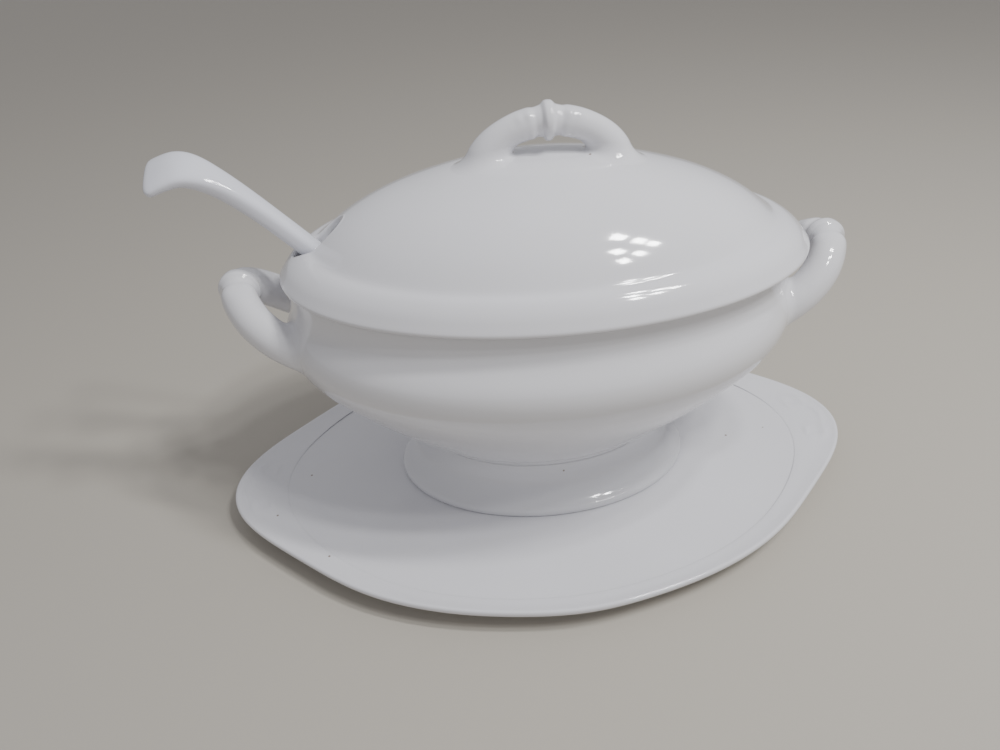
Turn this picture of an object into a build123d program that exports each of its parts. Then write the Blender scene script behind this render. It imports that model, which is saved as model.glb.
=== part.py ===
from build123d import *
import os
from math import cos, exp, pi, radians, sin

# Oval pedestal tureen with underplate, lid and ladle. Millimetres, +Z up, +X along the long axis.
# The origin is the centre of the underplate's foot ring, on the surface it stands on.

# ---------------------------------------------------------------- driving dimensions
HALF = 128.0                      # half the length of the lid: every size below is a share of it
WELL_Z = 9.5                      # top of the underplate's well, where the tureen stands
WALL = 0.036 * HALF               # wall of the bowl at its long ends
RIM_Z = WELL_Z + 0.972 * HALF     # the bowl's rim and the lid's seat
LID_SHIFT = 4.0                   # the loose lid stands this far towards +X in its seat
SET_BACK = 4.9                    # the loose tureen stands this far towards +Y on its underplate
LID_RATIO = 0.645                 # width over length of the lid

PLATE_LENGTH = 1.352 * HALF       # half length of the underplate
PLATE_RIM_Z = 13.3
PLATE_TURN = 3.0                  # degrees by which the loose underplate is turned about +Z
PLATE_HARMONICS = (0.1866, 0.0419, 0.0192, 0.0131, 0.0045, 0.0018)  # of the outline's log radius
WELL_HARMONICS = (0.150, 0.010, 0.0, 0.0, 0.0, 0.0)

TUBE = 0.068 * HALF               # radius of the side handles' section
LOOP_TUBE = 0.051 * HALF          # radius of the lid loop's section

os.makedirs("parts", exist_ok=True)


def up(share):
    """Height of a level of the tureen, given as a share of HALF above its foot."""
    return WELL_Z + share * HALF


def oval_stack(rows):
    """Sections for a loft: one ellipse for each (half length, half width, level)."""
    sections = []
    for a, b, level in rows:
        with BuildSketch(Plane.XY.offset(up(level))) as section:
            Ellipse(a * HALF, b * HALF)
        sections.append(section.sketch)
    return sections


def shaped_oval(half_length, harmonics, z, points=64):
    """Closed outline whose log radius is a sum of even cosines, longest along X."""
    total = sum(harmonics)
    corners = []
    for i in range(points):
        angle = 2 * pi * i / points
        wave = sum(h * cos(2 * (k + 1) * angle) for k, h in enumerate(harmonics))
        radius = half_length * exp(wave - total)
        corners.append((radius * cos(angle), radius * sin(angle)))
    with BuildSketch(Plane.XY.offset(z)) as section:
        with BuildLine():
            Spline(corners, periodic=True)
        make_face()
    return section.sketch


# ---------------------------------------------------------------- underplate
RING_HEIGHT = 4.0
RING_LENGTH = 0.74 * HALF         # half length of the foot ring, outside
RING_WIDTH = 0.54 * HALF
RING_THICK = 5.0
WELL_LENGTH = 1.02 * HALF         # half length of the flat of the well
VERGE_LENGTH = 1.13 * HALF        # where the rim starts
EDGE = 4.0                        # thickness of the plate's edge
VERGE_Z = PLATE_RIM_Z - 3.0       # top of the plate where the rim starts

with BuildPart() as underplate:
    loft([
        shaped_oval(WELL_LENGTH - 16.0, WELL_HARMONICS, RING_HEIGHT),
        shaped_oval(VERGE_LENGTH + 2.0, WELL_HARMONICS, VERGE_Z - 4.5),
        shaped_oval(PLATE_LENGTH - 1.5, PLATE_HARMONICS, PLATE_RIM_Z - EDGE),
        shaped_oval(PLATE_LENGTH, PLATE_HARMONICS, PLATE_RIM_Z - 0.6 * EDGE),
        shaped_oval(PLATE_LENGTH, PLATE_HARMONICS, PLATE_RIM_Z - 0.3 * EDGE),
        shaped_oval(PLATE_LENGTH - 1.5, PLATE_HARMONICS, PLATE_RIM_Z),
    ], ruled=True)
    loft([
        shaped_oval(WELL_LENGTH - 14.0, WELL_HARMONICS, WELL_Z),
        shaped_oval(VERGE_LENGTH, WELL_HARMONICS, VERGE_Z),
        shaped_oval(PLATE_LENGTH - 2.5, PLATE_HARMONICS, PLATE_RIM_Z),
    ], ruled=True, mode=Mode.SUBTRACT)
    with BuildSketch(Plane.XY):
        Ellipse(RING_LENGTH, RING_WIDTH)
        Ellipse(RING_LENGTH - RING_THICK, RING_WIDTH - RING_THICK, mode=Mode.SUBTRACT)
    extrude(amount=RING_HEIGHT)
underplate.part = underplate.part.moved(Location((0, 0, 0), (0, 0, PLATE_TURN)))
underplate.part.label = "underplate"

# ---------------------------------------------------------------- tureen: bowl and pedestal foot
JOIN = 0.20                       # level where the foot is luted to the bowl
BOWL_ROWS = (
    (0.500, 0.352, JOIN),
    (0.600, 0.420, 0.290),
    (0.700, 0.490, 0.375),
    (0.800, 0.560, 0.465),
    (0.893, 0.625, 0.560),
    (0.965, 0.672, 0.650),
    (0.988, 0.690, 0.725),
    (0.980, 0.680, 0.790),
    (0.958, 0.643, 0.845),
    (0.946, 0.618, 0.890),
    (0.944, 0.612, 0.972),
)
FLOOR = 0.245                     # level of the bowl's floor, inside

with BuildPart() as bowl_form:
    loft(oval_stack(BOWL_ROWS))

thick = WALL / HALF
inner_rows = [(0.46, 0.32, FLOOR)]
inner_rows += [(a - thick, b - thick, level) for a, b, level in BOWL_ROWS if level > FLOOR + 0.04]
inner_rows += [(inner_rows[-1][0], inner_rows[-1][1], 1.0)]

with BuildPart() as bowl:
    add(bowl_form.part)
    loft(oval_stack(inner_rows), mode=Mode.SUBTRACT)
    rim = bowl.edges().group_by(Axis.Z)[-1]
    fillet(rim, 0.3 * WALL)
bowl.part.label = "bowl"

FOOT_RATIO = 0.694                # width over length of the foot
FOOT_FLARE = ((0.616, 0.036), (0.572, 0.060), (0.532, 0.098), (0.506, 0.145), (0.499, JOIN))
FOOT_INSIDE = ((0.455, JOIN), (0.462, 0.110), (0.498, 0.055), (0.548, 0.025), (0.575, 0.0))


def at(share, level):
    """Point of a half section."""
    return (share * HALF, up(level))


with BuildPart() as pedestal_foot:
    with BuildSketch(Plane.XZ):
        with BuildLine():
            lip_start = at(0.619, 0)
            ThreePointArc(lip_start, at(0.627, 0.017), at(*FOOT_FLARE[0]))
            Spline([at(*point) for point in FOOT_FLARE])
            Line(at(*FOOT_FLARE[-1]), at(*FOOT_INSIDE[0]))
            Spline([at(*point) for point in FOOT_INSIDE])
            Line(at(*FOOT_INSIDE[-1]), lip_start)
        make_face()
    revolve(axis=Axis.Z)
    scale(by=(1, FOOT_RATIO, 1))
pedestal_foot.part.label = "pedestal_foot"

# ---------------------------------------------------------------- side handles
HANDLE_ROOT = (0.92 * HALF, up(0.675))    # x and z where the legs enter the bowl
HANDLE_TOP = (1.132 * HALF, up(0.925))    # x and z of the apex
HANDLE_SPREAD = 0.195 * HALF              # half the distance between the legs
LEG_IN = 0.060 * HALF                     # the legs bend in towards the bowl by this much
LEG_UP = 0.030 * HALF
COLLAR_LIFT = 0.014 * HALF                # how far the ring at the apex stands proud
STATIONS = 13


def bail_point(turn, side):
    """Point on the bail's centre line, from -90 to 90 degrees about its apex."""
    bend = (max(abs(turn) - 40, 0) / 50) ** 2
    x = HANDLE_ROOT[0] + (HANDLE_TOP[0] - HANDLE_ROOT[0]) * cos(radians(turn)) - LEG_IN * bend
    z = HANDLE_ROOT[1] + (HANDLE_TOP[1] - HANDLE_ROOT[1]) * cos(radians(turn)) + LEG_UP * bend
    return (side * x, HANDLE_SPREAD * sin(radians(turn)), z)


def make_handle(name, side):
    """One side handle: a tilted loop with a ring at its apex, cut to the bowl's outside."""
    turns = [-90 + 180 * i / (STATIONS - 1) for i in range(STATIONS)]
    with BuildPart() as handle:
        with BuildLine() as path:
            Spline([bail_point(t, side) for t in turns])
        with BuildSketch(Plane(path.line @ 0, z_dir=path.line % 0)):
            Circle(TUBE)
        sweep()
        apex = Plane(bail_point(0, side), x_dir=(1, 0, 0), z_dir=(0, 1, 0))
        with BuildSketch(apex.offset(-0.5 * COLLAR_LIFT - 0.02 * HALF)):
            Circle(TUBE + COLLAR_LIFT)
        extrude(amount=COLLAR_LIFT + 0.04 * HALF)
        ring = handle.edges().filter_by(GeomType.CIRCLE).filter_by(
            lambda e: e.radius > TUBE + 0.5 * COLLAR_LIFT)
        fillet(ring, 0.9 * COLLAR_LIFT)
        add(bowl_form.part, mode=Mode.SUBTRACT)
    handle.part.label = name
    return handle.part


left_handle = make_handle("left_handle", -1)
right_handle = make_handle("right_handle", 1)

# ---------------------------------------------------------------- lid
DOME_TOP = 1.355                  # level of the crown
LID_WALL = 0.036                  # shares of HALF, as the rest of this section
FLANGE_OUT = 0.860                # locating flange that drops into the bowl
FLANGE_IN = 0.828
FLANGE_DROP = 0.045
SEAT = 0.972
SEAT_IN = 0.895                   # a groove separates the seat from the flange
GROOVE = 1.025                    # level of its top
DOME_OUT = (
    (0.05, DOME_TOP - 0.001),
    (0.10, 1.351),
    (0.20, 1.340),
    (0.30, 1.322),
    (0.40, 1.298),
    (0.50, 1.269),
    (0.60, 1.235),
    (0.69, 1.195),
    (0.76, 1.155),
    (0.81, 1.119),
    (0.84, 1.095),
    (0.862, 1.081),
    (0.885, 1.075),
    (0.910, 1.066),
    (0.935, 1.051),
    (0.955, 1.035),
    (0.975, 1.012),
    (0.993, 0.990),
)
DOME_IN = (
    (0.05, DOME_TOP - LID_WALL - 0.001),
    (0.20, 1.304),
    (0.40, 1.262),
    (0.50, 1.232),
    (0.60, 1.197),
    (0.69, 1.155),
    (0.76, 1.112),
    (0.80, 1.080),
    (0.818, 1.060),
)


def lid_profile(hollow):
    """Half section of the lid on the XZ plane; without the hollow it fills the whole dome."""
    with BuildSketch(Plane.XZ) as section:
        with BuildLine():
            crown = at(0, DOME_TOP)
            lip = at(*DOME_OUT[-1])
            Spline([crown] + [at(s, z) for s, z in DOME_OUT])
            edge = at(0.990, 0.980)
            ThreePointArc(lip, at(0.995, 0.985), edge)
            if hollow:
                inner_top = at(0, DOME_TOP - LID_WALL)
                Polyline(edge, at(0.975, SEAT), at(SEAT_IN, SEAT), at(SEAT_IN - 0.022, GROOVE),
                         at(FLANGE_OUT, GROOVE), at(FLANGE_OUT - 0.004, SEAT - FLANGE_DROP),
                         at(FLANGE_IN, SEAT - FLANGE_DROP), at(FLANGE_IN, 1.035))
                Spline([at(FLANGE_IN, 1.035)] + [at(s, z) for s, z in reversed(DOME_IN)] + [inner_top])
                Line(inner_top, crown)
            else:
                Polyline(edge, at(0.975, SEAT), at(0, SEAT), crown)
        make_face()
    return section.sketch


SLOT_INNER = 0.735                # the ladle slot runs between these distances from the lid's centre
SLOT_OUTER = 0.930
SLOT_HALF_WIDTH = 0.068

with BuildPart() as lid_form:
    add(lid_profile(hollow=False))
    revolve(axis=Axis.Z)
    scale(by=(1, LID_RATIO, 1))
    lid_form.part = lid_form.part.moved(Location((LID_SHIFT, 0, 0)))

with BuildPart() as lid_shell:
    add(lid_profile(hollow=True))
    revolve(axis=Axis.Z)
    scale(by=(1, LID_RATIO, 1))
    with BuildSketch(Plane.XY.offset(up(0.9))):
        with Locations((-0.5 * (SLOT_INNER + SLOT_OUTER) * HALF, 0)):
            SlotOverall((SLOT_OUTER - SLOT_INNER) * HALF, 2 * SLOT_HALF_WIDTH * HALF)
    extrude(amount=0.4 * HALF, mode=Mode.SUBTRACT)
    lid_shell.part = lid_shell.part.moved(Location((LID_SHIFT, 0, 0)))
lid_shell.part.label = "lid_shell"

LOOP_HALF = 0.240                 # half span of the loop's centre line
LOOP_BASE = 1.300                 # level of its ends, inside the dome's wall
LOOP_TOP = 1.459                  # level of its apex
LOOP_SHIFT = LID_SHIFT + 3.0      # X of its middle
LOOP_RING = 0.014


def loop_point(turn):
    """Point on the lid loop's centre line, from -90 to 90 degrees about its apex."""
    return (LOOP_SHIFT + LOOP_HALF * HALF * sin(radians(turn)), 0,
            up(LOOP_BASE + (LOOP_TOP - LOOP_BASE) * cos(radians(turn))))


with BuildPart() as lid_loop_handle:
    with BuildLine() as path:
        Spline([loop_point(-90 + 180 * i / (STATIONS - 1)) for i in range(STATIONS)])
    with BuildSketch(Plane(path.line @ 0, z_dir=path.line % 0)):
        Circle(LOOP_TUBE)
    sweep()
    with BuildSketch(Plane(loop_point(0), x_dir=(0, 1, 0), z_dir=(1, 0, 0)).offset(-0.028 * HALF)):
        Circle(LOOP_TUBE + LOOP_RING * HALF)
    extrude(amount=0.056 * HALF)
    ring = lid_loop_handle.edges().filter_by(GeomType.CIRCLE).filter_by(
        lambda e: e.radius > LOOP_TUBE + 0.5 * LOOP_RING * HALF)
    fillet(ring, 0.9 * LOOP_RING * HALF)
    add(lid_form.part, mode=Mode.SUBTRACT)
lid_loop_handle.part.label = "lid_loop_handle"

# ---------------------------------------------------------------- ladle
SHAFT_POINTS = (                  # x and level of the shaft's centre line, tip first
    (-1.318, 1.372),
    (-1.225, 1.392),
    (-1.125, 1.348),
    (-1.020, 1.258),
    (-0.915, 1.150),
    (-0.810, 1.036),
    (-0.640, 0.8515),
    (-0.460, 0.656),
    (-0.350, 0.5365),
    (-0.290, 0.460),
    (-0.262, 0.412),
    (-0.240, 0.360),
)
SHAFT_WIDTHS = (0.096, 0.086, 0.062, 0.048, 0.044, 0.044, 0.042, 0.040, 0.040, 0.042, 0.044, 0.040)
SHAFT_DEPTHS = (0.022, 0.030, 0.036, 0.037, 0.036, 0.036, 0.035, 0.033, 0.030, 0.028, 0.026, 0.022)
LADLE_RADIUS = 0.235              # of the ladle's bowl, at its rim
LADLE_DEPTH = 0.130
LADLE_WALL = 0.026
LADLE_CENTRE = (-0.020, 0.425)    # x and level of the middle of its rim

ladle_rim = Plane((LADLE_CENTRE[0] * HALF, 0, up(LADLE_CENTRE[1])), x_dir=(1, 0, 0), z_dir=(0, 0, 1))


def half_egg(radius, depth):
    """Quarter ellipse below the rim plane, to revolve about Z."""
    with BuildSketch(Plane.XZ) as quarter:
        with BuildLine():
            Line((0, 0), (radius, 0))
            EllipticalCenterArc((0, 0), radius, depth, start_angle=270, arc_size=90)
            Line((0, -depth), (0, 0))
        make_face()
    return quarter.sketch


with BuildPart() as ladle_form:
    add(half_egg(LADLE_RADIUS * HALF, LADLE_DEPTH * HALF))
    revolve(axis=Axis.Z)

with BuildPart() as ladle_hollow:
    add(half_egg((LADLE_RADIUS - LADLE_WALL) * HALF, (LADLE_DEPTH - LADLE_WALL) * HALF))
    revolve(axis=Axis.Z)

with BuildPart() as ladle_bowl:
    add(ladle_form.part)
    add(ladle_hollow.part, mode=Mode.SUBTRACT)
ladle_bowl.part = ladle_bowl.part.moved(ladle_rim.location)
ladle_bowl.part.label = "ladle_bowl"

with BuildPart() as ladle_handle:
    last = len(SHAFT_POINTS) - 1
    for i, (x, level) in enumerate(SHAFT_POINTS):
        here = Vector(x * HALF, 0, up(level))
        before = SHAFT_POINTS[max(i - 1, 0)]
        after = SHAFT_POINTS[min(i + 1, last)]
        ahead = Vector(after[0] - before[0], 0, after[1] - before[1])
        with BuildSketch(Plane(here, x_dir=(0, 1, 0), z_dir=ahead)):
            Ellipse(SHAFT_WIDTHS[i] * HALF, SHAFT_DEPTHS[i] * HALF)
    loft()
    add(ladle_form.part.moved(ladle_rim.location), mode=Mode.SUBTRACT)
ladle_handle.part.label = "ladle_handle"

# ---------------------------------------------------------------- write the nodes
export_step(underplate.part, "parts/underplate.step")
for piece in (bowl.part, pedestal_foot.part, left_handle, right_handle,
              lid_shell.part, lid_loop_handle.part, ladle_bowl.part, ladle_handle.part):
    placed = piece.moved(Location((0, SET_BACK, 0)))
    placed.label = piece.label
    export_step(placed, f"parts/{placed.label}.step")
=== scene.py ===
from math import radians

import bmesh
import bpy
import numpy as np
from mathutils import Matrix, Vector


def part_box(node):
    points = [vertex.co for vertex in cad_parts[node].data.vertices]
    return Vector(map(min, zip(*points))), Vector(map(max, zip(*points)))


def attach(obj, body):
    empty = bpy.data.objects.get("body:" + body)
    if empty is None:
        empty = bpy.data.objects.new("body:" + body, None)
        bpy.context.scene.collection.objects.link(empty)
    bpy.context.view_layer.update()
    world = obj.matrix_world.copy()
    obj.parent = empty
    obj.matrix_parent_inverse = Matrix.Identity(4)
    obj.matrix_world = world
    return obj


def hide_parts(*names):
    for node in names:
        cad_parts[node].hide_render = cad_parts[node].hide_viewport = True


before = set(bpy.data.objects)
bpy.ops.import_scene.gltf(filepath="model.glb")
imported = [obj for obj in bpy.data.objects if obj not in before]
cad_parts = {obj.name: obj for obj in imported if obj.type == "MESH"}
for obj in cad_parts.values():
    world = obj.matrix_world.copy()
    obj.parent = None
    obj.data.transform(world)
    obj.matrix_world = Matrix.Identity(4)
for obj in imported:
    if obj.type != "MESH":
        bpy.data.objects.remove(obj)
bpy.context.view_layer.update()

# Oval white ironstone tureen with a lid, a ladle and an underplate. Lengths are shares of HALF,
# half the lid's length, and levels are shares of HALF above the tureen's foot, as in the CAD model.

LID_LO, LID_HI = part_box("lid_shell")
LIP = 0.995                                    # half length of the lid
HALF = (LID_HI.x - LID_LO.x) / (2 * LIP)
LID_X = 0.5 * (LID_HI.x + LID_LO.x) / HALF     # the lid's centre along X
FOOT_LO, FOOT_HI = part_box("pedestal_foot")
FOOT_Z = FOOT_LO.z
SET_BACK = 0.5 * (FOOT_LO.y + FOOT_HI.y) / HALF    # of the tureen on its underplate
LID_RATIO = (LID_HI.y - LID_LO.y) / (LID_HI.x - LID_LO.x)
PLATE_TOP_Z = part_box("underplate")[1].z


# ---------------------------------------------------------------- mesh helpers
def metres(points, x_shift=0.0):
    """Points in shares of HALF, with the level third, to metres in the frame."""
    p = np.array(points, float)
    p[..., 0] += x_shift
    p[..., 1] += SET_BACK
    p = p * HALF
    p[..., 2] += FOOT_Z
    return p


def spline(points, count):
    """Evenly spread points along a natural cubic spline through the given ones."""
    p = np.array(points, float)
    t = np.concatenate([[0], np.cumsum(np.linalg.norm(np.diff(p, axis=0), axis=1))])
    n, h = len(p), np.diff(t)
    system, right = np.eye(n), np.zeros_like(p)
    for i in range(1, n - 1):
        system[i, i - 1:i + 2] = h[i - 1], 2 * (h[i - 1] + h[i]), h[i]
        right[i] = 6 * ((p[i + 1] - p[i]) / h[i] - (p[i] - p[i - 1]) / h[i - 1])
    m = np.linalg.solve(system, right)
    s = np.linspace(0, t[-1], count)
    k = np.clip(np.searchsorted(t, s, side="right") - 1, 0, n - 2)
    a, b, w = (t[k + 1] - s)[:, None], (s - t[k])[:, None], h[k][:, None]
    return ((m[k] * a**3 + m[k + 1] * b**3) / (6 * w)
            + (p[k] / w - m[k] * w / 6) * a + (p[k + 1] / w - m[k + 1] * w / 6) * b)


class Skin:
    """Collects quads from grids that share vertices, then makes one smooth mesh object."""

    def __init__(self):
        self.verts, self.faces = [], []

    def add(self, points):
        points = np.asarray(points, float)
        first = len(self.verts)
        self.verts += points.reshape(-1, 3).tolist()
        return np.arange(first, first + points.size // 3).reshape(points.shape[:-1])

    def band(self, index, closed=True, keep=None):
        """Quads between the rows of an index grid, leaving out cells where keep is false."""
        rows, columns = index.shape
        for r in range(rows - 1):
            for c in range(columns if closed else columns - 1):
                if keep is None or keep[r, c]:
                    d = (c + 1) % columns
                    self.faces.append((index[r, c], index[r, d], index[r + 1, d], index[r + 1, c]))

    def cap(self, ring):
        centre = np.mean([self.verts[i] for i in ring], axis=0)
        pole = self.add(centre[None])[0]
        for a, b in zip(ring, np.roll(ring, -1)):
            self.faces.append((a, b, pole))

    def finish(self, name):
        mesh = bpy.data.meshes.new(name)
        mesh.from_pydata(self.verts, [], [tuple(int(i) for i in f) for f in self.faces])
        bm = bmesh.new()
        bm.from_mesh(mesh)
        bmesh.ops.recalc_face_normals(bm, faces=bm.faces)
        bm.to_mesh(mesh)
        bm.free()
        mesh.shade_smooth()
        piece = bpy.data.objects.new(name, mesh)
        bpy.context.scene.collection.objects.link(piece)
        return piece


def place(piece, body, nodes, material):
    """Let a piece ride on its body, stand for its CAD nodes and take its material."""
    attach(piece, body)
    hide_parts(*nodes)
    piece.data.materials.append(material)
    return piece


# ---------------------------------------------------------------- forms
COLUMNS = 288
TURN = np.linspace(0, 2 * np.pi, COLUMNS, endpoint=False)


def oval_ring(a, b, level, turn=TURN):
    """Ellipse of half length a and half width b at a level."""
    return np.stack([a * np.cos(turn), b * np.sin(turn), np.full(len(turn), level)], -1)


def revolve_skin(name, profile, ratio, x_shift=0.0, closed_profile=False):
    """Oval body from a half section of (share, level) points; open ends on the axis are capped."""
    skin = Skin()
    rings = [oval_ring(s, s * ratio, z) for s, z in profile]
    index = skin.add(metres(rings, x_shift))
    if closed_profile:
        index = np.vstack([index, index[:1]])
    skin.band(index)
    if not closed_profile:
        skin.cap(index[0])
        skin.cap(index[-1])
    return skin.finish(name)


JOIN = 0.20
BOWL_ROWS = (
    (0.499, 0.346, JOIN), (0.503, 0.349, 0.214), (0.528, 0.368, 0.236), (0.600, 0.420, 0.290),
    (0.700, 0.490, 0.375), (0.800, 0.560, 0.465), (0.893, 0.625, 0.560), (0.965, 0.672, 0.650),
    (0.988, 0.690, 0.725), (0.983, 0.684, 0.775), (0.968, 0.663, 0.815), (0.953, 0.637, 0.852),
    (0.946, 0.620, 0.890), (0.944, 0.613, 0.930), (0.944, 0.611, 0.960),
)
BOWL_CURVE = spline(BOWL_ROWS, 120)
WALL = 0.036
RIM = 0.971
FLOOR = 0.247


def bowl_share(p):
    """Below one inside the bowl's outside surface, above one outside it; p in shares of HALF."""
    level = np.clip(p[..., 2], JOIN, 0.960)
    a = np.interp(level, BOWL_CURVE[:, 2], BOWL_CURVE[:, 0])
    b = np.interp(level, BOWL_CURVE[:, 2], BOWL_CURVE[:, 1])
    return np.sqrt((p[..., 0] / a)**2 + (p[..., 1] / b)**2)


def make_bowl(material):
    """Outside from the foot to the rim, rounded rim, inside down to the floor."""
    outer = BOWL_CURVE
    inner = outer[outer[:, 2] > FLOOR + 0.10][::-1].copy()
    inner[:, :2] -= WALL
    floor = spline([inner[-1], (0.585, 0.405, FLOOR + 0.032), (0.50, 0.345, FLOOR + 0.008),
                    (0.38, 0.262, FLOOR), (0.20, 0.14, FLOOR), (0.01, 0.007, FLOOR)], 30)[1:]
    rim_turn = np.linspace(0, np.pi, 9)[1:-1]
    rim = [(outer[-1][0] - 0.5 * WALL * (1 - np.cos(u)), outer[-1][1] - 0.5 * WALL * (1 - np.cos(u)),
            outer[-1][2] + (RIM - outer[-1][2]) * np.sin(u)) for u in rim_turn]
    under = [(s * 0.499, s * 0.346, JOIN) for s in (0.01, 0.5, 0.91)]
    rows = np.vstack([under, outer, rim, inner, floor])
    skin = Skin()
    index = skin.add(metres([oval_ring(*row) for row in rows]))
    skin.band(index)
    skin.cap(index[0])
    skin.cap(index[-1])
    return place(skin.finish("tureen_bowl"), "tureen", ["bowl"], material)


def make_foot(material):
    """Hollow flared foot with a thin rounded lip."""
    flare = spline([(0.619, 0.0335), (0.596, 0.043), (0.565, 0.061), (0.532, 0.095),
                    (0.509, 0.142), (0.4995, 0.180), (0.499, JOIN)], 40)
    lip = [(0.611, 0.0), (0.620, 0.002), (0.6255, 0.008), (0.627, 0.015), (0.6262, 0.023),
           (0.6235, 0.029)]
    inside = spline([(0.455, JOIN), (0.460, 0.120), (0.490, 0.065), (0.535, 0.034), (0.572, 0.012),
                     (0.585, 0.002)], 24)
    profile = np.vstack([lip, flare, inside, [(0.590, 0.0)]])
    foot = revolve_skin("tureen_foot", profile, 0.694, closed_profile=True)
    return place(foot, "tureen", ["pedestal_foot"], material)


# ---------------------------------------------------------------- clay loops with luted ends
def gradient(share, p, step=1e-4):
    """Outward normal of a form given by its share function."""
    g = np.stack([share(p + step * e) - share(p - step * e) for e in np.eye(3)], -1)
    return g / np.linalg.norm(g, axis=-1, keepdims=True)


def settle(share, p):
    """Move points onto the form's surface."""
    for _ in range(6):
        n = gradient(share, p)
        slope = (share(p + 1e-4 * n) - share(p - 1e-4 * n)) / 2e-4
        p = p - n * ((share(p) - 1) / slope)[..., None]
    return p


def crossing(line, share):
    """Where a line that starts outside a form first enters it: the distance along and the point."""
    value = share(line)
    i = max(int(np.argmax(value < 1)), 1)
    w = (value[i - 1] - 1) / (value[i - 1] - value[i])
    along = np.concatenate([[0], np.cumsum(np.linalg.norm(np.diff(line, axis=0), axis=1))])
    return along, along[i - 1] + w * (along[i] - along[i - 1])


def leg(rings, share, fillet, count=96, steps=10):
    """Half a loop, from its apex to the form, with a glaze fillet round its end."""
    columns = rings.shape[1]
    grid = np.empty((count, columns, 3))
    hit = np.empty((columns, 3))
    for c in range(columns):
        line = rings[:, c]
        along, stop = crossing(line, share)
        places = np.append(np.linspace(0, stop - fillet, count), stop)
        column = np.stack([np.interp(places, along, line[:, k]) for k in range(3)], -1)
        grid[:, c] = column[:-1]
        hit[c] = column[-1]
    hit = settle(share, hit)
    normal = gradient(share, hit)
    out = hit - hit.mean(axis=0)
    out -= (out * normal).sum(-1, keepdims=True) * normal
    out /= np.linalg.norm(out, axis=-1, keepdims=True)
    foot = settle(share, hit + fillet * out)
    foot -= 0.0012 * gradient(share, foot)
    u = np.linspace(0, 1, steps)[1:, None, None]
    return np.vstack([grid, (1 - u)**2 * grid[-1] + 2 * u * (1 - u) * hit + u**2 * foot])


def make_loop(name, path, binormal, radius, share, fillet, relief, columns=64):
    """Round bar along a planar path, both ends luted to a form; relief(s, angle) stands proud."""
    path = np.asarray(path)
    tangent = np.gradient(path, axis=0)
    tangent /= np.linalg.norm(tangent, axis=1, keepdims=True)
    side = np.cross(binormal, tangent)
    along = np.concatenate([[0], np.cumsum(np.linalg.norm(np.diff(path, axis=0), axis=1))])
    along -= 0.5 * along[-1]
    angle = np.linspace(0, 2 * np.pi, columns, endpoint=False)
    reach = radius(along)[:, None] + relief(along[:, None], angle[None])
    rings = (path[:, None] + reach[..., None] * (np.cos(angle)[None, :, None] * binormal
                                                 + np.sin(angle)[None, :, None] * side[:, None]))
    apex = len(path) // 2
    first = leg(rings[apex::-1], share, fillet)
    last = leg(rings[apex:], share, fillet)
    skin = Skin()
    index = skin.add(metres(np.vstack([first[:0:-1], last])))
    skin.band(index)
    skin.cap(index[0])
    skin.cap(index[-1])
    return skin.finish(name)


def bump(x, centre, width):
    """Smooth hill of height one."""
    return np.exp(-((x - centre) / width)**2)


def band_relief(x, half, soft):
    """Flat-topped ring of height one with soft shoulders."""
    return 0.5 * (np.tanh((half - abs(x)) / soft) + 1)


BAIL_ROOT = np.array([0.915, 0.672])
BAIL_TOP = np.array([1.132, 0.925])
BAIL_BEND = (-0.060, 0.030)                    # how far the legs' ends turn in and up
BAIL_SPREAD = 0.195
BAIL_TUBE = 0.066


def make_side_handle(node, side, material):
    """Tilted bail with a ring at its apex, standing out from one end of the bowl."""
    turn = np.radians(np.linspace(0, 90, 91))
    bend = np.clip((np.degrees(turn) - 40) / 50, 0, 1)**2
    rise = np.outer(np.cos(turn), BAIL_TOP - BAIL_ROOT) + BAIL_ROOT + np.outer(bend, BAIL_BEND)
    half = np.stack([rise[:, 0], BAIL_SPREAD * np.sin(turn), rise[:, 1]], -1)
    sink = np.linspace(0, 1, 60)[1:, None]         # the buried end carries on into the bowl
    step = (half[-1] - half[-2]) / np.linalg.norm(half[-1] - half[-2])
    buried = half[-1] + 0.17 * sink * step + sink**2 * (-0.08, 0.0, 0.0)
    half = np.vstack([half, buried]) * (side, 1, 1)
    path = np.vstack([half[:0:-1] * (1, -1, 1), half])
    lean = np.array([side * (BAIL_TOP - BAIL_ROOT)[0], 0, (BAIL_TOP - BAIL_ROOT)[1]])
    binormal = np.cross((0, 1, 0), lean)
    binormal /= np.linalg.norm(binormal)

    def relief(s, angle):
        collar = 0.0105 * band_relief(s, 0.016, 0.004) - 0.004 * bump(abs(s), 0.038, 0.011)
        leaf = 0.004 * bump(abs(s), 0.065, 0.022) * (0.5 + 0.5 * np.cos(4 * angle))
        return collar + leaf

    def radius(s):
        return BAIL_TUBE + 0.006 * np.clip(abs(s) / 0.3, 0, 1)**2

    piece = make_loop(node + "_bail", path, binormal, radius, bowl_share, 0.040, relief)
    return place(piece, "tureen", [node], material)


# ---------------------------------------------------------------- lid
DOME = (
    (0.004, 1.355), (0.05, 1.354), (0.10, 1.351), (0.20, 1.340), (0.30, 1.322), (0.40, 1.298),
    (0.50, 1.269), (0.60, 1.235), (0.69, 1.195), (0.76, 1.155), (0.81, 1.119), (0.84, 1.095),
    (0.862, 1.081), (0.885, 1.075), (0.910, 1.066), (0.935, 1.051), (0.955, 1.035),
    (0.975, 1.012), (0.992, 0.991),
)
DOME_CURVE = spline(DOME, 400)
UNDER = (
    (0.004, 1.319), (0.05, 1.318), (0.20, 1.304), (0.40, 1.262), (0.50, 1.232), (0.60, 1.197),
    (0.69, 1.155), (0.76, 1.112), (0.80, 1.080), (0.815, 1.063),
)
UNDER_CURVE = spline(UNDER, 300)
SEAT = 0.972
FLANGE_FOOT = 0.927
PATCH_IN, PATCH_OUT = 0.705, 0.962             # the slot's patch of the lid, in shares
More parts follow.
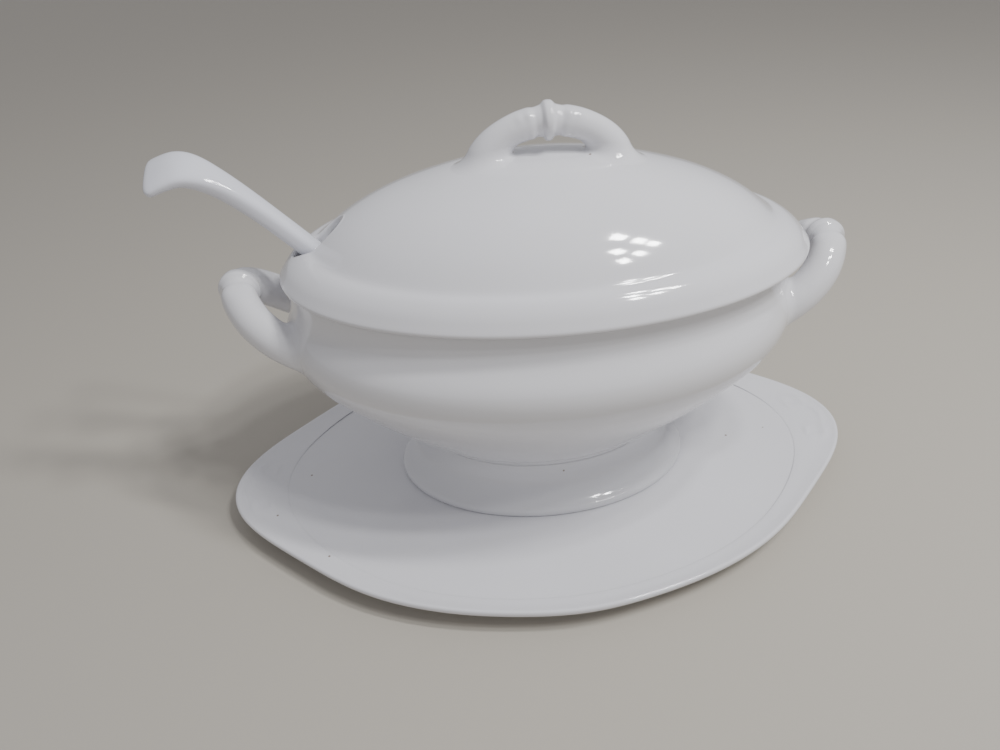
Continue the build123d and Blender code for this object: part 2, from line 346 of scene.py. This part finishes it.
PATCH_ROWS = 22
PATCH_COLUMNS = 14                             # each side of the long axis
SLOT_INNER, SLOT_OUTER = 0.735, 0.930
SLOT_HALF_WIDTH = 0.060
SLOT_EDGE = 0.013                              # radius of the glaze along the slot's edge


def dome_share(p):
    """Below one inside the dome, above one outside it; p in shares of HALF, lid centred."""
    s = np.hypot(p[..., 0] - LID_X, p[..., 1] / LID_RATIO)
    level = np.interp(s, DOME_CURVE[:, 0], DOME_CURVE[:, 1])
    return 1 + (p[..., 2] - level)


def rows_between(curve, low, high, count):
    """Profile points at even shares from low to high, read from a fine curve."""
    s = np.linspace(low, high, count)
    return np.stack([s, np.interp(s, curve[:, 0], curve[:, 1])], -1)


def stadium(centre_x, half_length, half_width, direction):
    """Distance from a slot's middle to its outline along unit directions."""
    straight = half_length - half_width
    dx, dy = np.abs(direction[:, 0]), np.abs(direction[:, 1])
    flat = half_width / np.maximum(dy, 1e-9)
    b = dx * straight
    round_end = b + np.sqrt(np.maximum(b * b - straight**2 + half_width**2, 0))
    return np.where(flat * dx <= straight, flat, round_end)


def patch_loop(index, first, rows, west):
    """Vertex loop round a patch of a ring grid: rows first..first+rows, columns about west."""
    lo, hi = west - PATCH_COLUMNS, west + PATCH_COLUMNS
    last = first + rows
    loop = [index[first, c] for c in range(lo, hi)]
    loop += [index[r, hi] for r in range(first, last)]
    loop += [index[last, c] for c in range(hi, lo, -1)]
    loop += [index[r, lo] for r in range(last, first, -1)]
    return np.array(loop)


def make_lid(material):
    """Dome with a flange roll and lip, a seat, a locating flange and the ladle slot."""
    west = COLUMNS // 2
    skin = Skin()
    outer = DOME_CURVE[::12][:-1]
    outer = outer[outer[:, 0] < PATCH_IN - 0.01]
    outer_first = len(outer)
    outer = np.vstack([outer, rows_between(DOME_CURVE, PATCH_IN, PATCH_OUT, PATCH_ROWS + 1),
                       rows_between(DOME_CURVE, PATCH_OUT, 0.992, 6)[1:]])
    lip = [(0.9945, 0.987), (LIP, 0.983), (0.9945, 0.979), (0.991, 0.9755), (0.986, 0.9732),
           (0.980, SEAT)]
    inner_dome = rows_between(UNDER_CURVE, PATCH_IN, 0.812, 8)
    flange = np.array([(0.823, 1.046, 0.0), (0.8275, 1.036, 0.35), (0.829, 1.030, 0.75),
                       (0.833, 1.028, 0.985), (0.845, 1.030, 1.0), (0.856, 1.030, 0.985),
                       (0.861, 1.028, 0.75), (0.865, 1.026, 0.35), (0.870, 1.022, 0.0)])
    groove = [(0.880, 1.008), (0.889, 0.990), (0.897, 0.978), (0.908, SEAT), (0.935, SEAT)]
    head = UNDER_CURVE[::12]
    head = head[head[:, 0] < PATCH_IN - 0.01]
    plain = np.vstack([head, inner_dome, flange[:, :2], groove, [(PATCH_OUT, SEAT)]])
    inner_first = len(head)
    assert len(plain) - 1 - inner_first == PATCH_ROWS    # both skins leave out as many rows

    away = np.abs(np.arange(COLUMNS) - west)
    fade = np.clip((away - PATCH_COLUMNS - 1) / 8.0, 0, 1)
    fade = fade * fade * (3 - 2 * fade)

    top = skin.add(metres([oval_ring(s, s * LID_RATIO, z) for s, z in np.vstack([outer, lip])], LID_X))
    rings = np.array([oval_ring(s, s * LID_RATIO, z) for s, z in plain])
    for k, (_, z, drop) in enumerate(flange):
        row = inner_first + len(inner_dome) + k
        rings[row, :, 2] -= drop * fade * (z - FLANGE_FOOT)
    bottom = skin.add(metres(rings, LID_X))

    keep_top = np.ones((len(top) - 1, COLUMNS), bool)
    keep_bottom = np.ones((len(bottom) - 1, COLUMNS), bool)
    span = slice(west - PATCH_COLUMNS, west + PATCH_COLUMNS)
    keep_top[outer_first:outer_first + PATCH_ROWS, span] = False
    keep_bottom[inner_first:inner_first + PATCH_ROWS, span] = False
    skin.band(top, keep=keep_top)
    skin.band(bottom, keep=keep_bottom)
    skin.band(np.vstack([top[-1:], bottom[-1:]]))
    skin.cap(top[0])
    skin.cap(bottom[0])

    # the slot: both skins close in on it, and a wall with rounded edges joins them
    middle = np.array([-0.5 * (SLOT_INNER + SLOT_OUTER), 0.0])
    half_length = 0.5 * (SLOT_OUTER - SLOT_INNER)
    loops, edges = [], []
    for index, first, curve in ((top, outer_first, outer), (bottom, inner_first, plain)):
        loop = patch_loop(index, first, PATCH_ROWS, west)
        start = np.array([skin.verts[i] for i in loop])[:, :2] / HALF - (LID_X, SET_BACK)
        loops.append(loop)
        edges.append((start, curve))
    count = len(loops[0])
    even = np.linspace(0, 2 * np.pi, count, endpoint=False)
    turn0 = np.unwrap(np.arctan2(edges[0][0][:, 1], edges[0][0][:, 0] - middle[0]))
    sign = np.sign(turn0[-1] - turn0[0])
    blend_turn = 0.6 * (turn0[0] + sign * even) + 0.4 * turn0
    direction = np.stack([np.cos(blend_turn), np.sin(blend_turn)], -1)

    def slot_ring(grow):
        reach = stadium(middle[0], half_length + grow, SLOT_HALF_WIDTH + grow, direction)
        return middle + reach[:, None] * direction

    def level_of(plan, curve):
        share = np.hypot(plan[:, 0], plan[:, 1] / LID_RATIO)
        return np.interp(share, curve[:, 0], curve[:, 1])

    walls = []
    for loop, (start, curve), down in ((loops[0], edges[0], 1), (loops[1], edges[1], -1)):
        fine = DOME_CURVE if down == 1 else curve
        grids = []
        for u in np.linspace(0, 1, 8)[1:]:
            plan = (1 - u) * start + u * slot_ring(SLOT_EDGE)
            grids.append(np.column_stack([plan, level_of(plan, fine)]))
        for bend in np.radians((18, 36, 54, 72, 90)):
            plan = slot_ring(SLOT_EDGE * (1 - np.sin(bend)))
            rim = level_of(slot_ring(SLOT_EDGE), fine)
            grids.append(np.column_stack([plan, rim - down * SLOT_EDGE * (1 - np.cos(bend))]))
        index = skin.add(metres(grids, LID_X))
        skin.band(np.vstack([loop[None], index]))
        walls.append((index[-1], grids[-1]))
    steps = [walls[0][1] * (1 - u) + walls[1][1] * u for u in (0.25, 0.5, 0.75)]
    between = skin.add(metres(steps, LID_X))
    skin.band(np.vstack([walls[0][0][None], between, walls[1][0][None]]))
    return place(skin.finish("lid_dome"), "lid", ["lid_shell"], material)


LOOP_HALF, LOOP_BASE, LOOP_TOP = 0.240, 1.290, 1.459
LOOP_TUBE = 0.0525
LOOP_X = LID_X + 0.0234                        # the loop is luted a little off the middle


def make_lid_loop(material):
    """Arched loop with a ring at its top and small leaf tips pressed beside the ring."""
    turn = np.radians(np.linspace(-90, 90, 141))
    arch = np.stack([LOOP_HALF * np.sin(turn), 0 * turn,
                     LOOP_BASE + (LOOP_TOP - LOOP_BASE) * np.cos(turn)], -1)
    sink = np.linspace(0.1, 0, 10, endpoint=False)
    west = np.column_stack([0 * sink - LOOP_HALF, 0 * sink, LOOP_BASE - sink])
    path = np.vstack([west, arch, west[::-1] * (-1, 1, 1)]) + (LOOP_X, 0, 0)

    def relief(s, angle):
        ring = 0.0155 * band_relief(s, 0.017, 0.006) - 0.003 * bump(abs(s), 0.044, 0.012)
        tips = 0
        for at in (0.25, 0.75, 1.25, 1.75):
            facing = bump(np.mod(angle - at * np.pi + np.pi, 2 * np.pi) - np.pi, 0, 0.34)
            tips = tips + facing * (bump(abs(s), 0.064, 0.014) + 0.6 * bump(abs(s), 0.094, 0.013))
        return ring + 0.0055 * tips

    def radius(s):
        return LOOP_TUBE + 0.020 * np.clip((abs(s) - 0.14) / 0.17, 0, 1)**1.6

    piece = make_loop("lid_loop", path, np.array((0.0, 1.0, 0.0)), radius, dome_share, 0.062, relief)
    return place(piece, "lid", ["lid_loop_handle"], material)


# ---------------------------------------------------------------- ladle
SHAFT = (                                      # x, level, half width, half depth, from the tip
    (-1.318, 1.372, 0.097, 0.024), (-1.225, 1.392, 0.088, 0.030), (-1.125, 1.348, 0.063, 0.036),
    (-1.020, 1.258, 0.048, 0.037), (-0.915, 1.150, 0.045, 0.036), (-0.810, 1.036, 0.044, 0.036),
    (-0.640, 0.8515, 0.042, 0.035), (-0.460, 0.656, 0.041, 0.033), (-0.350, 0.5365, 0.042, 0.030),
    (-0.290, 0.460, 0.045, 0.027), (-0.262, 0.412, 0.047, 0.022), (-0.246, 0.372, 0.036, 0.012),
)
TIP_ROLL = radians(20)                         # the shaft's end is twisted towards the front
LADLE_X, LADLE_RIM = -0.020, 0.425
LADLE_RADIUS, LADLE_DEPTH, LADLE_WALL = 0.235, 0.130, 0.024


def make_ladle_shaft(material, columns=56):
    """Flat-sided bar that widens to a turned-over round end and thins into the bowl's outside."""
    line = spline(SHAFT, 150)
    tangent = np.gradient(line[:, [0, 1]], axis=0)
    tangent /= np.linalg.norm(tangent, axis=1, keepdims=True)
    angle = np.linspace(0, 2 * np.pi, columns, endpoint=False)
    c, s = np.cos(angle), np.sin(angle)
    power = 0.72                                # below one flattens the ellipse towards a bar
    across, deep = np.sign(c) * abs(c)**power, np.sign(s) * abs(s)**power
    rings = []
    head = line[0]
    for bend in np.radians((82, 66, 50, 34, 17)):  # round end beyond the first station
        out, close = 0.031 * np.sin(bend), np.cos(bend)**0.5
        x = head[0] - out * tangent[0, 0]
        z = head[1] - out * tangent[0, 1]
        rings.append((x, z, head[2] * close, head[3] * close * close, tangent[0]))
    rings += [(x, z, w, d, t) for (x, z, w, d), t in zip(line, tangent)]
    grid = []
    for x, z, w, d, t in rings:
        roll = TIP_ROLL * np.clip((-0.95 - x) / 0.30, 0, 1)
        y = w * across * np.cos(roll) - d * deep * np.sin(roll)
        lift = w * across * np.sin(roll) + d * deep * np.cos(roll)
        grid.append(np.stack([x - lift * t[1], y, z + lift * t[0]], -1))
    skin = Skin()
    index = skin.add(metres(grid))
    skin.band(index)
    skin.cap(index[0])
    skin.cap(index[-1])
    return place(skin.finish("ladle_shaft"), "ladle", ["ladle_handle"], material)


def make_ladle_cup(material):
    """Round shallow cup with a rounded rim."""
    turn = np.radians(np.linspace(-89.5, 0, 34))
    outside = np.stack([LADLE_RADIUS * np.cos(turn), LADLE_DEPTH * np.sin(turn)], -1)
    inside_r, inside_d = LADLE_RADIUS - LADLE_WALL, LADLE_DEPTH - LADLE_WALL
    inside = np.stack([inside_r * np.cos(turn), inside_d * np.sin(turn)], -1)[::-1]
    over = np.linspace(0, np.pi, 8)[1:-1]
    rim = np.stack([LADLE_RADIUS - 0.5 * LADLE_WALL * (1 - np.cos(over)), -0.012 + 0.012 * np.sin(over)],
                   -1)
    outside[:, 1] -= 0.012 * (1 + outside[:, 1] / LADLE_DEPTH)
    inside[:, 1] -= 0.012 * (1 + inside[:, 1] / inside_d)
    profile = np.vstack([outside, rim, inside])
    profile[:, 1] += LADLE_RIM
    cup = revolve_skin("ladle_cup", profile, 1.0, LADLE_X)
    return place(cup, "ladle", ["ladle_bowl"], material)


# ---------------------------------------------------------------- underplate
PLATE_HALF = 1.352
PLATE_TURN = radians(3.0)                      # the loose underplate is turned a little
PLATE_TOP = (PLATE_TOP_Z - FOOT_Z) / HALF
TABLE = -FOOT_Z / HALF
PLATE_HARMONICS = (0.1866, 0.0419, 0.0192, 0.0131, 0.0045, 0.0018)
WELL_HARMONICS = (0.150, 0.010, 0.0, 0.0, 0.0, 0.0)
PLATE_COLUMNS = 360


def shaped_ring(half_length, level, shape):
    """Plate outline whose harmonics go from the well's (0) to the edge's (1)."""
    angle = np.linspace(0, 2 * np.pi, PLATE_COLUMNS, endpoint=False)
    mix = [(1 - shape) * w + shape * p for w, p in zip(WELL_HARMONICS, PLATE_HARMONICS)]
    wave = sum(h * (np.cos(2 * (k + 1) * angle) - 1) for k, h in enumerate(mix))
    radius = half_length * np.exp(wave)
    return np.stack([radius * np.cos(angle), radius * np.sin(angle), np.full(len(angle), level)], -1)


def make_plate(material):
    """Shallow dish: foot ring, underside, edge roll, rim, stepped verge and well."""
    edge = PLATE_HALF
    under = spline([(0.80, TABLE + 0.033, 0.0), (0.93, TABLE + 0.037, 0.0), (1.12, -0.027, 0.35),
                    (1.27, -0.008, 0.8), (edge - 0.020, PLATE_TOP - 0.034, 1.0)], 34)
    roll = [(edge - 0.010, PLATE_TOP - 0.030, 1.0), (edge - 0.003, PLATE_TOP - 0.022, 1.0),
            (edge, PLATE_TOP - 0.013, 1.0), (edge - 0.002, PLATE_TOP - 0.005, 1.0),
            (edge - 0.008, PLATE_TOP, 1.0), (edge - 0.016, PLATE_TOP - 0.0005, 1.0)]
    top = spline([(edge - 0.026, PLATE_TOP - 0.003, 1.0), (1.28, PLATE_TOP - 0.008, 0.86),
                  (1.19, PLATE_TOP - 0.014, 0.55), (1.13, PLATE_TOP - 0.018, 0.25),
                  (1.08, 0.0075, 0.0), (1.00, 0.003, 0.0), (0.92, 0.001, 0.0), (0.84, 0.0, 0.0)], 90)
    step = 0.0007 * (np.tanh((top[:, 0] - 1.145) / 0.018) - 1)
    top[:, 1] += step * np.clip((top[:, 0] - 0.95) / 0.12, 0, 1)
    well = [(s, 0.0, 0.0) for s in (0.78, 0.66, 0.52, 0.36, 0.20, 0.08, 0.01)]
    skin = Skin()
    rings = [shaped_ring(*row) for row in np.vstack([under, roll, top, well])]
    ring_out, ring_in = (0.74, 0.54), (0.702, 0.502)
    angle = np.linspace(0, 2 * np.pi, PLATE_COLUMNS, endpoint=False)

    def foot_oval(size, level):
        return np.stack([size[0] * np.cos(angle), size[1] * np.sin(angle),
                         np.full(PLATE_COLUMNS, level)], -1)

    low, high, soft = TABLE, TABLE + 0.032, 0.006
    foot = [foot_oval((s, s * 0.70), high) for s in (0.01, 0.35, 0.60)]
    foot += [foot_oval(ring_in, high), foot_oval(ring_in, low + soft),
             foot_oval((ring_in[0] + soft, ring_in[1] + soft), low),
             foot_oval((ring_out[0] - soft, ring_out[1] - soft), low),
             foot_oval(ring_out, low + soft), foot_oval(ring_out, high - 0.004),
             foot_oval((ring_out[0] + 0.008, ring_out[1] + 0.008), high)]
    grid = np.array(foot + rings)
    emboss_plate(grid, len(foot) + len(under) + len(roll))
    c, s = np.cos(PLATE_TURN), np.sin(PLATE_TURN)
    grid[..., :2] = grid[..., :2] @ np.array([(c, s), (-s, c)]) - (0, SET_BACK)
    index = skin.add(metres(grid))
    skin.band(index)
    skin.cap(index[0])
    skin.cap(index[-1])
    return place(skin.finish("underplate_dish"), "underplate", ["underplate"], material)


def emboss_plate(grid, first_top):
    """Soft scroll in low relief just inside each shaped end of the rim."""
    top = grid[first_top:]
    x, y = np.abs(top[..., 0]), top[..., 1]
    relief = np.zeros_like(x)
    for mirror in (1, -1):
        v = mirror * y
        curl = np.hypot(x - 1.225, v - 0.115)
        relief += 0.0042 * bump(curl, 0.042, 0.011) * (v > -0.02)
        arm = 1.300 - 1.3 * v * v - 0.25 * abs(v)
        relief += 0.0036 * bump(x, arm, 0.012) * np.clip(1 - abs(v) / 0.2, 0, 1) * 0.5
    top[..., 2] += relief
    grid[first_top:] = top


# ---------------------------------------------------------------- materials
def glaze(name, tint, seed, wash=0.05):
    """Clear glaze over a white body: faint mottling, kiln specks, pooling and a soft waviness."""
    material = bpy.data.materials.new(name)
    material.use_nodes = True
    nodes, links = material.node_tree.nodes, material.node_tree.links
    shader = nodes["Principled BSDF"]
    shader.inputs["IOR"].default_value = 1.52
    shader.inputs["Coat Weight"].default_value = 0.35
    shader.inputs["Coat Roughness"].default_value = 0.03
    coords = nodes.new("ShaderNodeTexCoord").outputs["Object"]

    def noise(scale, detail, shift):
        node = nodes.new("ShaderNodeTexNoise")
        node.noise_dimensions = "4D"
        node.inputs["W"].default_value = seed + shift
        node.inputs["Scale"].default_value = scale
        node.inputs["Detail"].default_value = detail
        links.new(coords, node.inputs["Vector"])
        return node.outputs["Fac"]

    def ramp(source, stops):
        node = nodes.new("ShaderNodeValToRGB")
        while len(node.color_ramp.elements) < len(stops):
            node.color_ramp.elements.new(0.5)
        for element, (position, colour) in zip(node.color_ramp.elements, stops):
            element.position = position
            element.color = (*colour, 1.0)
        links.new(source, node.inputs["Fac"])
        return node.outputs["Color"]

    def mix(kind, factor, one, two):
        node = nodes.new("ShaderNodeMix")
        node.data_type = "RGBA"
        node.blend_type = kind
        sockets = [s for s in node.inputs if s.type == "RGBA"]
        if isinstance(factor, float):
            node.inputs[0].default_value = factor
        else:
            links.new(factor, node.inputs[0])
        for socket, value in zip(sockets, (one, two)):
            if isinstance(value, tuple):
                socket.default_value = (*value, 1.0)
            else:
                links.new(value, socket)
        return next(s for s in node.outputs if s.type == "RGBA")

    deep = tuple(c * (1 - wash) for c in tint)
    warm = (tint[0] * 0.985, tint[1] * 0.965, tint[2] * 0.925)
    body = ramp(noise(9.0, 3.0, 0.0), [(0.30, deep), (0.62, tint)])
    body = mix("MIX", ramp(noise(28.0, 4.0, 3.0), [(0.60, (0, 0, 0)), (0.80, (0.28, 0.28, 0.28))]),
               body, warm)
    specks = nodes.new("ShaderNodeTexVoronoi")
    specks.inputs["Scale"].default_value = 95.0
    links.new(coords, specks.inputs["Vector"])
    dots = ramp(specks.outputs["Distance"], [(0.035, (1, 1, 1)), (0.075, (0, 0, 0))])
    rare = ramp(noise(60.0, 0.0, 7.0), [(0.665, (0, 0, 0)), (0.70, (1, 1, 1))])
    few = mix("MULTIPLY", 1.0, dots, rare)
    body = mix("MIX", few, body, (0.23, 0.17, 0.13))
    links.new(body, shader.inputs["Base Color"])

    rough = ramp(noise(40.0, 3.0, 11.0), [(0.3, (0.055,) * 3), (0.75, (0.115,) * 3)])
    links.new(rough, shader.inputs["Roughness"])
    wave = nodes.new("ShaderNodeBump")
    wave.inputs["Strength"].default_value = 0.16
    wave.inputs["Distance"].default_value = 0.0009
    links.new(noise(34.0, 1.5, 17.0), wave.inputs["Height"])
    pits = nodes.new("ShaderNodeBump")
    pits.inputs["Strength"].default_value = 0.25
    pits.inputs["Distance"].default_value = 0.00025
    pits.invert = True
    links.new(few, pits.inputs["Height"])
    links.new(wave.outputs["Normal"], pits.inputs["Normal"])
    links.new(pits.outputs["Normal"], shader.inputs["Normal"])
    return material


def floor_material():
    """Matt pale studio floor."""
    material = bpy.data.materials.new("studio_floor")
    material.use_nodes = True
    shader = material.node_tree.nodes["Principled BSDF"]
    shader.inputs["Base Color"].default_value = (0.47, 0.44, 0.385, 1)
    shader.inputs["Roughness"].default_value = 0.85
    return material


# ---------------------------------------------------------------- studio
CAMERA_AT = (-0.296, -2.582, 2.168)            # in shares of HALF about the tureen's foot
CAMERA_TARGET = (0.0, 0.0, 0.75)
CAMERA_PAN, CAMERA_TILT, CAMERA_ROLL = -0.054, -0.096, -2.01
CAMERA_LENS = 26.6


def make_camera():
    """Close view from the front and above, a little to the ladle's side."""
    where = Vector(CAMERA_AT)
    forward = (Vector(CAMERA_TARGET) - where).normalized()
    right = forward.cross(Vector((0, 0, 1))).normalized()
    above = right.cross(forward)
    forward = (forward + CAMERA_PAN * right + CAMERA_TILT * above).normalized()
    right = forward.cross(above).normalized()
    above = right.cross(forward)
    roll = radians(CAMERA_ROLL)
    turned = right * np.cos(roll) + above * np.sin(roll)
    above = above * np.cos(roll) - right * np.sin(roll)
    camera = bpy.data.objects.new("camera", bpy.data.cameras.new("camera"))
    camera.data.lens = CAMERA_LENS
    camera.data.sensor_width = 36.0
    camera.data.clip_start = 0.01
    basis = Matrix((turned, above, -forward)).transposed().to_4x4()
    camera.matrix_world = Matrix.Translation(Vector(metres(CAMERA_AT))) @ basis
    bpy.context.scene.collection.objects.link(camera)
    bpy.context.scene.camera = camera


def soft_light(name, at, aim, size, power, colour=(1, 1, 1)):
    """Square area light, with its place and aim in shares of HALF."""
    data = bpy.data.lights.new(name, "AREA")
    data.size = size * HALF
    data.energy = power
    data.color = colour
    light = bpy.data.objects.new(name, data)
    here, there = Vector(metres(at)), Vector(metres(aim))
    facing = (there - here).to_track_quat("-Z", "Y").to_matrix().to_4x4()
    light.matrix_world = Matrix.Translation(here) @ facing
    bpy.context.scene.collection.objects.link(light)


LIGHT_HEIGHT, LIGHT_AIM = 8.0, (0.3, -0.2, 1.0)    # in shares of HALF, as is the size
LIGHT_SIZE, LIGHT_POWER = 0.55, 1.9                # watts each


def make_studio():
    """Pale floor, even surround and a cluster of small lights overhead, right of the camera."""
    floor = Skin()
    reach = 40 * HALF
    corners = floor.add([[(-reach, -reach, 0), (reach, -reach, 0)], [(-reach, reach, 0), (reach, reach, 0)]])
    floor.band(corners, closed=False)
    floor = floor.finish("floor")
    floor.data.materials.append(floor_material())
    world = bpy.data.worlds.new("studio")
    world.use_nodes = True
    back = world.node_tree.nodes["Background"]
    back.inputs["Color"].default_value = (0.93, 0.93, 0.97, 1)
    back.inputs["Strength"].default_value = 0.50
    bpy.context.scene.world = world
    front = ((3.1, -1.2), (4.1, -1.6), (4.9, -1.9), (3.3, -2.9), (4.5, -3.2), (3.9, -4.2))
    for i, (x, y) in enumerate(front):
        soft_light(f"front_{i}", (x, y, LIGHT_HEIGHT), LIGHT_AIM, LIGHT_SIZE, LIGHT_POWER)


# ---------------------------------------------------------------- build
make_camera()
make_studio()
tureen_glaze = glaze("glaze_tureen", (0.760, 0.758, 0.785), 1.0)
lid_glaze = glaze("glaze_lid", (0.780, 0.778, 0.810), 5.0)
ladle_glaze = glaze("glaze_ladle", (0.775, 0.785, 0.850), 9.0)
plate_glaze = glaze("glaze_underplate", (0.770, 0.768, 0.800), 13.0)
make_plate(plate_glaze)
make_bowl(tureen_glaze)
make_foot(tureen_glaze)
make_side_handle("left_handle", -1, tureen_glaze)
make_side_handle("right_handle", 1, tureen_glaze)
make_lid(lid_glaze)
make_lid_loop(lid_glaze)
make_ladle_cup(ladle_glaze)
make_ladle_shaft(ladle_glaze)
